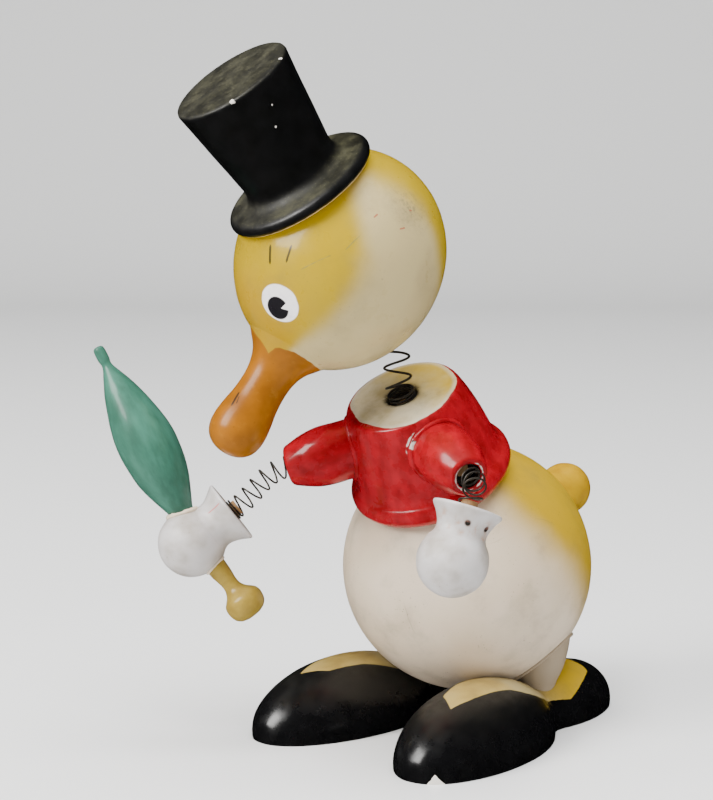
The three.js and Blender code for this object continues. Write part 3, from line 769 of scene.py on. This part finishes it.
def bead(name, ring, width, material, body, seed=0.0, sides=12, lumpy=0.25):
    """A soft run of paint or glue along a closed ring."""
    p = np.asarray(ring, float)
    for _ in range(3):
        p = (np.roll(p, 1, 0) + 2 * p + np.roll(p, -1, 0)) / 4
    t = np.roll(p, -1, 0) - np.roll(p, 1, 0)
    t /= np.linalg.norm(t, axis=1)[:, None]
    c = p.mean(0)
    verts = []
    ang = np.linspace(0, 2 * math.pi, sides, endpoint=False)
    k = np.linspace(0, 2 * math.pi, len(p), endpoint=False)
    w = width * (1 + lumpy * (np.sin(3 * k + seed) * 0.5 + np.sin(7 * k + seed * 2) * 0.3 + np.sin(13 * k + seed * 3) * 0.2))
    for i in range(len(p)):
        n = p[i] - c
        n = unit(n - n @ t[i] * t[i])
        b = np.cross(t[i], n)
        verts.append(p[i] + w[i] * (np.outer(np.cos(ang), n) + np.outer(np.sin(ang), b)))
    faces = ring_faces(len(p), sides, False, False, close=True)
    ob = mesh_object(name, np.vstack(verts), faces, material, body)
    return ob


def in_chest(p, grow=0.0):
    q = CHEST.into(p)
    return np.hypot(q[:, 0], q[:, 1]) < chest_radius(q[:, 2]) + grow


def in_ball(c, r):
    return lambda p: np.linalg.norm(p - c, axis=1) < r


# ---- shoes and legs ----
SHOE = [(0, -28.1), (2.2, -27.85), (4.2, -27), (7.9, -23.7), (11.1, -18), (13.4, -10.7), (14.4, -3), (14.4, 4),
        (13.2, 11.5),
        (11.3, 17.2), (9.3, 21.2), (8.35, 23.6), (8.5, 25.8), (9.5, 29), (10.5, 33.5), (10.9, 38), (10.6, 43),
        (9.4, 48.6), (7.2, 53.2), (4.2, 56.4), (2.2, 57.4), (0, 57.7)]


PER_DEGREE = 0.01745     # arc length for one degree, per mm of radius


def shoe_paint(name):
    m = gloss_paint(name, srgb(13, 13, 14), srgb(8, 8, 9), 0.2, grime=0.02, specks=0.03, coat=0.0, dust=0.12,
                    chips=("chip",))
    base = m.bsdf.inputs["Base Color"].links[0].from_socket
    m.bsdf.inputs["Specular IOR Level"].default_value = 0.45
    strip = m.edge("strip", 0.06, 0.35, 2.0)
    pale = m.mix(m.ramp(m.noise(9.0, 4.0), 0.35, 0.7), srgb(160, 144, 98), srgb(138, 118, 74))
    pale = m.mix(m.math("MULTIPLY", m.num("gold"), m.ramp(m.noise(7.0, 3.0), 0.2, 0.7, 0.8, 1.0)), pale,
                 srgb(176, 142, 2))
    m.colour(m.mix(strip, base, age(m, pale, 0.35, 0.5)))
    rough = m.bsdf.inputs["Roughness"].links[0].from_socket
    m.rough(m.mix(strip, rough, (0.42, 0.42, 0.42, 1.0)))
    return m.mat


def make_shoe(side, sx, seed):
    turn = math.radians(6.6)
    axis = Axis([sx * 19.5, -21.4, 1.5], [-sx * math.sin(turn), math.cos(turn), 0], (0, 0, 1))
    prof = profile(SHOE, step=0.5)
    mid = prof[1:-1]
    seg_arc, seg_sole = 120, 24
    rows = []
    for r, s in mid:
        low = -math.asin(min(1.5 / r, 1.0))
        th = np.linspace(low, math.pi - low, seg_arc)
        z = r * np.sin(th)
        x = r * np.cos(th)
        xs = np.linspace(x[-1], x[0], seg_sole + 2)[1:-1]
        zs = np.full(seg_sole, z[-1])
        rows.append(np.stack([np.r_[z, zs], np.r_[x, xs], np.full(seg_arc + seg_sole, s)], 1))
    local = np.vstack([[[0, 0, prof[0, 1]]], *rows, [[0, 0, prof[-1, 1]]]])
    lump = wobble(local, 26, 0.1, seed)
    grow = 1 + lump / np.maximum(np.hypot(local[:, 0], local[:, 1]), 4.0) * smooth_step(local[:, 0], -1.4, 3.0)
    local[:, 0] = np.where(local[:, 0] > 0, local[:, 0] * grow, local[:, 0])
    faces = ring_faces(len(mid), seg_arc + seg_sole, True, True)
    ob = mesh_object(side + "_shoe_turning", axis.out(local), faces, shoe_paint(side + "_shoe_paint"), "torso", local)
    s = local[:, 2]
    world = axis.out(local)
    outward = (world[:, 0] - axis.at[0]) * sx
    a = np.degrees(np.arctan2(outward + (s * math.sin(turn)), np.maximum(local[:, 0], -20)))
    r = np.maximum(np.hypot(local[:, 0], local[:, 1]), 2.0)
    outer = np.interp(s, [-14.5, -9, -2, 4.5, 9, 15, 25, 30, 35.6, 42.6, 43.5], [7, 14, 19, 25, 34, 43, 49, 60, 49,
            36, 24])
    inner = np.interp(s, [-14, -9.4, 0, 10, 20, 30, 38, 43], [-12, -15, -22, -38, -50, -53, -42, -22])
    front = np.interp(a, [-30, -15, 7, 20], [-7, -9.4, -14.5, -16.5])
    d = np.minimum.reduce([(outer - a) * r * PER_DEGREE, (a - inner) * r * PER_DEGREE, s - front, 43.3 - s])
    field(ob, "strip", -d)
    field(ob, "gold", 0.35 + 0.65 * smooth_step(s, 22, 32) - 0.45 * smooth_step(s, 2, 10) * (1 - smooth_step(s, 17,
            26)))
    field(ob, "dust", smooth_step(local[:, 0], 4, 13) * 0.7)
    chip = np.full(len(s), 9.0)
    if side == "left":
        q = local - CHIP_AT
        spot = np.maximum(np.abs(q[:, 1]) * 1.15 + q[:, 0] * 0.85 - 1.15, -q[:, 0] - 1.1)
        spot = np.where(s < -15, spot, 9.0)
        chip = np.minimum(spot, np.linalg.norm(q - [-0.5, -4.4, 0.0], axis=1) - 0.35)
    field(ob, "chip", chip)
    crisp(ob, 50)
    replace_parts(ob, side + "_shoe")
    leg_axis = Axis([sx * 16.6, 6, 0], [0, 0, 1], [0, -1, 0])
    # The leg and its filler take the darker cream: painted shade under the belly, with some dirt.
    leg, _ = lathe(side + "_leg_peg", profile([(0, 6), (4.0, 6)], [(4.9, 10.2), (6.0, 12.6), (7.0, 15.5), (7.8, 19),
            (8.15, 22), (8.3, 26)],
                   [(0, 26)]), leg_axis, cream_paint(side + "_leg_paint_shaded",
                           dirt=0.6), "torso", seg=96, uneven=0.12, size=13, seed=seed)
    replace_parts(leg, side + "_leg")
    crisp(leg)
    glue = cream_paint(side + "_leg_filler_shaded", dirt=0.6)
    bead(side + "_leg_belly_fillet", seam(leg_axis, 8.4, in_ball(BELLY, 30.15), 4, 30), 0.42, glue, "torso",
         seed)
    return ob


CHIP_AT = np.array([-0.6, 4.9, -26.3])


# ---- tail, gloves, umbrella ----
def yellow_paint(name, light=(172, 134, 4), dark=(156, 116, 0), grime=0.2):
    m = gloss_paint(name, srgb(*light), srgb(*dark), 0.32, grime=grime, specks=0.3, coat=0.3)
    return m.mat


def make_tail():
    prof = profile([(10.6, -18), (9.2, -14), (8.0, -10.5), (7.15, -6.5), (6.6, -3.2), (6.55, -1.2)]
                   + arc(0, 0, 6.6, 2, 90, 14))
    prof = np.vstack([[[0, -18]], prof])
    prof[-1, 0] = 0
    tail, _ = lathe("tail_turning", prof, TAIL, yellow_paint("tail_paint"), "torso", seg=110, uneven=0.1, size=9,
                    seed=4.0)
    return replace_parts(tail, "tail_knob")


def glove_paint(name, side):
    m = Mat(name, coat=0.15, coat_rough=0.3)
    base = m.mix(m.ramp(m.noise(9.0, 3.0), 0.35, 0.7), srgb(190, 186, 185), srgb(164, 156, 148))
    base = age(m, base, 0.22, 0.5)
    if side == "left":
        for deg in (-46.0, 2.0):
            out = brad_dir(deg)
            n = m.node("VectorMath", operation="DISTANCE")
            m.put(n.inputs[0], m.where)
            spot = GLOVE["left"].into(GLOVE["left"].out([0, 0, 8.4]) + out * 6.1)
            n.inputs[1].default_value = tuple(spot * MM)
            d = m.math("MULTIPLY", n.outputs["Value"], 1000.0)
            base = m.mix(m.ramp(d, 0.5, 0.95, 0.95, 0.0), base, srgb(70, 34, 24))
        rust = m.math("MULTIPLY", m.num("neck"), m.ramp(m.noise(2.2, 4.0, 0.7), 0.48, 0.7, 0.0, 0.55))
        base = m.mix(rust, base, srgb(176, 120, 82))
    else:
        a, b = np.array([5.9, -3.4, 11.2]), np.array([4.6, -3.6, 7.3])
        line = stroke(m, m.where, a, b, 0.28, (0.8, -0.6, 0.1), 0.15)
        base = m.mix(m.math("MULTIPLY", line, 0.8), base, srgb(198, 84, 82))
    worn = m.math("MULTIPLY", m.num("cup"), m.ramp(m.noise(1.2, 4.0, 0.7), 0.4, 0.62, 0.35, 1.0))
    base = m.mix(worn, base, srgb(138, 112, 84))
    m.colour(base)
    m.rough(m.ramp(m.noise(3.0, 4.0), 0.3, 0.75, 0.38, 0.56))
    orange_peel(m, 0.45, 0.07)
    return m.mat


def brad_dir(deg):
    """Direction of a cuff brad, square to the left glove's axis."""
    q = Vector((0, 0, 1)).rotation_difference(Vector(GLOVE["left"].z))
    a = math.radians(deg)
    return np.array(q @ Vector((math.cos(a), math.sin(a), 0)))


def make_glove(side, seed):
    prof = [(8.0 * math.cos(t), 8.0 * math.sin(t)) for t in np.radians(np.linspace(-90, 40, 60))]
    prof[0] = (0.0, -8.0)
    prof = profile(prof + [(5.75, 6.3), (5.8, 7.4), (6.3, 8.9), (7.0, 10.2), (7.6, 11.1), (7.85, 11.6), (7.75, 12.0),
                   (7.35, 12.12)], [(5.9, 12.12), (5.4, 11.9)], [(3.3, 9.95)], [(3.3, 6.6)], [(0, 6.6)], step=0.35)
    ob, local = lathe(side + "_glove_turning", prof, GLOVE[side], glove_paint(side + "_glove_paint", side),
                      side + "_hand", seg=120, uneven=0.14, size=10, seed=seed)
    r, z = np.hypot(local[:, 0], local[:, 1]), local[:, 2]
    field(ob, "cup", smooth_step(z, 9.2, 9.8) * smooth_step(-r, -6.6, -5.6))
    field(ob, "neck", smooth_step(z, 4.5, 6.5) * (1 - smooth_step(z, 9.0, 11.0)))
    crisp(ob)
    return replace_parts(ob, side + "_glove")


def make_umbrella():
    green = gloss_paint("umbrella_paint", srgb(60, 110, 93), srgb(44, 84, 69), 0.36, streak=(1, 1, 0.3), grime=0.1,
                        specks=0.3, coat=0.25)
    prof = profile([(0, -3), (2.6, -3)], [(2.75, -0.5), (2.95, 0.8), (3.5, 2.2), (5.0, 6), (6.35, 10.5), (7.0, 15.5),
                   (7.05, 19), (6.5, 23.5), (5.3, 28.3), (3.7, 33.2), (2.2, 36.6), (1.45, 38.3), (1.2, 39.2), (1.22,
                           39.8)],
                   [(1.38, 40.5), (1.38, 43.0), (1.2, 43.6), (0.8, 43.9), (0, 44)])
    canopy, _ = lathe("umbrella_furled", prof, CANOPY, green.mat, "right_hand", seg=120, uneven=0.1, size=18, seed=6.0)
    crisp(canopy)
    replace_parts(canopy, "umbrella_canopy")
    prof = profile([(0, 4), (2.5, 4)], [(2.45, 8.6), (2.2, 10.2), (2.0, 11.6), (2.1, 13.2), (2.8, 14.5), (3.7, 15.4),
            (4.4, 16.2),
                   (4.75, 17.4), (4.6, 19.0), (4.1, 20.1), (3.2, 20.9)], [(1.6, 21.4), (0, 21.5)])
    grip, _ = lathe("umbrella_grip", prof, HANDLE, yellow_paint("grip_paint", (154, 130, 54), (134, 110, 42), 0.3),
                    "right_hand", seg=96, uneven=0.14, size=9, seed=8.0)
    crisp(grip)
    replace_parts(grip, "umbrella_handle")
    glove = GLOVE["right"]
    paint = cream_paint("cuff_filler")
    inside = in_ball(glove.at, 8.1)
    down = Axis(CANOPY.out([0, 0, 7.0]), -CANOPY.z, [0, 0, 1])
    bead("umbrella_glue_fillet", seam(down, 3.4, inside, 0, 12), 0.55, paint, "right_hand", 1.0,
         lumpy=0.4)
    up = Axis(HANDLE.out([0, 0, 12.0]), -HANDLE.z, [0, 0, 1])
    bead("handle_glue_fillet", seam(up, 2.6, inside, 0, 12), 0.3, paint, "right_hand", 2.0, lumpy=0.3)


# ---- springs ----
def spring_path(start, start_dir, end, end_dir, r, wire, low, rise, high, straight, bend, ref, phase, per_turn=30):
    """Points of a wound spring: close coils at both ends, open between, on a bent centre line."""
    start_dir, end_dir = unit(start_dir), unit(end_dir)
    a, b = start + start_dir * straight[0], end - end_dir * straight[1]
    gap = np.linalg.norm(b - a)
    c1, c2 = a + start_dir * bend * gap, b - end_dir * bend * gap
    t = np.linspace(0, 1, 240)[:, None]
    mid = (1 - t) ** 3 * a + 3 * (1 - t) ** 2 * t * c1 + 3 * (1 - t) * t ** 2 * c2 + t ** 3 * b
    line = np.vstack([np.linspace(start, a, 40)[:-1], mid, np.linspace(b, end, 40)[1:]])
    length = np.r_[0, np.cumsum(np.linalg.norm(np.diff(line, axis=0), axis=1))]
    tan = np.gradient(line, axis=0)
    tan /= np.linalg.norm(tan, axis=1)[:, None]
    turns = low + rise + high
    k = np.linspace(0, turns, int(turns * per_turn))
    tight = 1.35 * wire
    s = np.interp(k, [0, low, low + rise, turns], [0, low * tight, length[-1] - high * tight, length[-1]])
    c = np.stack([np.interp(s, length, line[:, i]) for i in range(3)], 1)
    d = np.stack([np.interp(s, length, tan[:, i]) for i in range(3)], 1)
    e1 = np.cross(unit(ref), d)
    e1 /= np.linalg.norm(e1, axis=1)[:, None]
    e2 = np.cross(d, e1)
    ang = 2 * math.pi * k + phase
    return c + r * (np.cos(ang)[:, None] * e1 + np.sin(ang)[:, None] * e2), s / length[-1]


def make_spring(name, node, path, share, wire, bodies, ends):
    """Two halves of the coil, made as steel tubes, that meet in the middle of the coil."""
    steel = wire_steel(name + "_steel")
    near = (np.asarray(ends[0]) + np.asarray(ends[1])) / 2
    low, high = share <= 0.5, share >= 0.5
    for half, keep, pair, (p, q) in (("lower", low, bodies[:2], (ends[0], near)), ("upper", high, bodies[1:],
            (near, ends[1]))):
        ob = tube(f"{name}_{half}_coils", path[keep], wire / 2, steel, None, sides=10)
        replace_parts(ob, node)
        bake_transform(ob)


def make_springs():
    seat = CHEST.out([0, 0, CHEST_TOP])
    top = HEAD_C - 23.55 * HEAD_UP
    path, share = spring_path(seat - 4.6 * chest_z, chest_z, top + 4.6 * HEAD_UP, HEAD_UP, 3.0, 0.6, 7.2, 3.2, 3.2,
                              (4.9, 4.8), 0.36, (1, 0.2, 0.1), 2.4)
    make_spring("neck_spring", "neck_spring", path, share, 0.6, ("torso", "neck_coil", "head"), (seat, top))
    for side, turns in (("left", 5), ("right", 7)):
        mouth, glove = SLEEVE[side], GLOVE[side]
        out = -mouth.z
        path, share = spring_path(mouth.at - 6 * out, out, glove.out([0, 0, 11.2]), -glove.z, 2.42, 0.45, 4, turns,
                2 if side == "left" else 3,
                                  (6.2, 2.6), 0.42, (-out[1], out[0], 0.1), 0.6)
        make_spring(side + "_arm_spring", side + "_arm_spring", path, share, 0.45,
                    ("torso", side + "_arm_coil", side + "_hand"), (mouth.at, glove.out([0, 0, 12.1])))


# ---- put it together ----
make_head()
make_hat()
make_belly()
make_chest()
for side, sx, seed in (("left", 1, 1.0), ("right", -1, 2.3)):
    make_sleeve(side, seed)
    collar = seam(SLEEVE[side], 7.05, in_chest, 2, 26)
    paint = red_paint(side + "_collar_paint")
    ob = bead(side + "_sleeve_paint_fillet", collar, 0.7, paint, "torso", seed)
    q = SLEEVE[side].into(np.array([v.co for v in ob.data.vertices]) / MM - SHIFT)
    around = np.degrees(np.arctan2(q[:, 1], q[:, 0]))
    lean = np.abs((around - GAP_AT + 180) % 360 - 180)
    field(ob, "worn", (lean - 9) * 0.1 if side == "left" else np.full(len(q), 3.0))
    make_shoe(side, sx, seed)
    make_glove(side, seed + 4)
make_tail()
make_umbrella()
make_springs()

wood = wood_paint("dowel_wood")
pin = wire_steel("brad_steel")
for name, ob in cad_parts.items():
    mat = wood if name.endswith(("dowel", "plug")) else pin if "brad" in name else None
    if mat:
        for i in range(max(1, len(ob.material_slots))):
            if not ob.material_slots:
                ob.data.materials.append(mat)
            ob.material_slots[i].material = mat

# ---- floor, light and camera ----
floor_mat = Mat("floor", rough=0.28, spec=0.4)
floor_mat.colour(srgb(228, 228, 227))
AWAY, ACROSS = Vector((-0.6421, 0.7666, 0.0)), Vector((0.7666, 0.6421, 0.0))
me = bpy.data.meshes.new("floor")
depth = [(-1.6, 0.0), (0.9, 0.0)] + [(0.9 + 0.9 * math.sin(t), 0.9 - 0.9 * math.cos(t)) for t in np.linspace(0.05,
        math.pi / 2, 24)] + [(1.8, 3.0)]
sweep = [(d * AWAY + w * ACROSS + Vector((0, 0, z)))[:] for w in (-3.0, 3.0) for d, z in depth]
n_d = len(depth)
me.from_pydata(sweep, [], [(i, n_d + i, n_d + i + 1, i + 1) for i in range(n_d - 1)])
me.polygons.foreach_set("use_smooth", [True] * len(me.polygons))
me.materials.append(floor_mat.mat)
floor = bpy.data.objects.new("floor", me)
bpy.context.scene.collection.objects.link(floor)
floor.visible_glossy = False

world = bpy.data.worlds.new("studio")
bpy.context.scene.world = world
world.use_nodes = True
world.node_tree.nodes["Background"].inputs[0].default_value = srgb(232, 230, 224)
world.node_tree.nodes["Background"].inputs[1].default_value = 0.3
world.cycles_visibility.glossy = False


def area(name, at, aim, size, power, colour=(1, 1, 1), size_y=None):
    data = bpy.data.lights.new(name, "AREA")
    data.energy, data.color, data.size = power, colour, size
    if size_y:
        data.shape, data.size_y = "RECTANGLE", size_y
    ob = bpy.data.objects.new(name, data)
    ob.location = at
    ob.rotation_euler = (Vector(aim) - Vector(at)).to_track_quat("-Z", "Y").to_euler()
    bpy.context.scene.collection.objects.link(ob)
    return ob


CAM = Vector((0.33540, -0.41255, 0.16006))
right, up, back = Vector((0.7666, 0.6421, 0.0)), Vector((-0.0975, 0.1164, 0.9884)), Vector((0.6347, -0.7577, 0.1518))
target = Vector((0.0, 0.0, 0.075))
area("key", target + (right * -0.725 + up * 0.483 + back * 0.49) * 1.15, target, 0.6, 23.0, (1.0, 0.985, 0.96))
area("top", target + Vector((0, 0, 1.3)) + back * 0.2, target, 1.2, 56.0, (0.97, 0.98, 1.0)).visible_glossy = False
area("fill", target + back * 1.3 + right * 0.5 + up * 0.3, target, 1.2, 8.0, (1.0, 0.99, 0.97)).visible_glossy = False

cam_data = bpy.data.cameras.new("camera")
cam_data.lens, cam_data.sensor_width, cam_data.sensor_fit = 101.93, 36.0, "AUTO"
cam = bpy.data.objects.new("camera", cam_data)
cam.matrix_world = Matrix(((right.x, up.x, back.x, CAM.x), (right.y, up.y, back.y, CAM.y),
                           (right.z, up.z, back.z, CAM.z), (0, 0, 0, 1)))
bpy.context.scene.collection.objects.link(cam)
bpy.context.scene.camera = cam
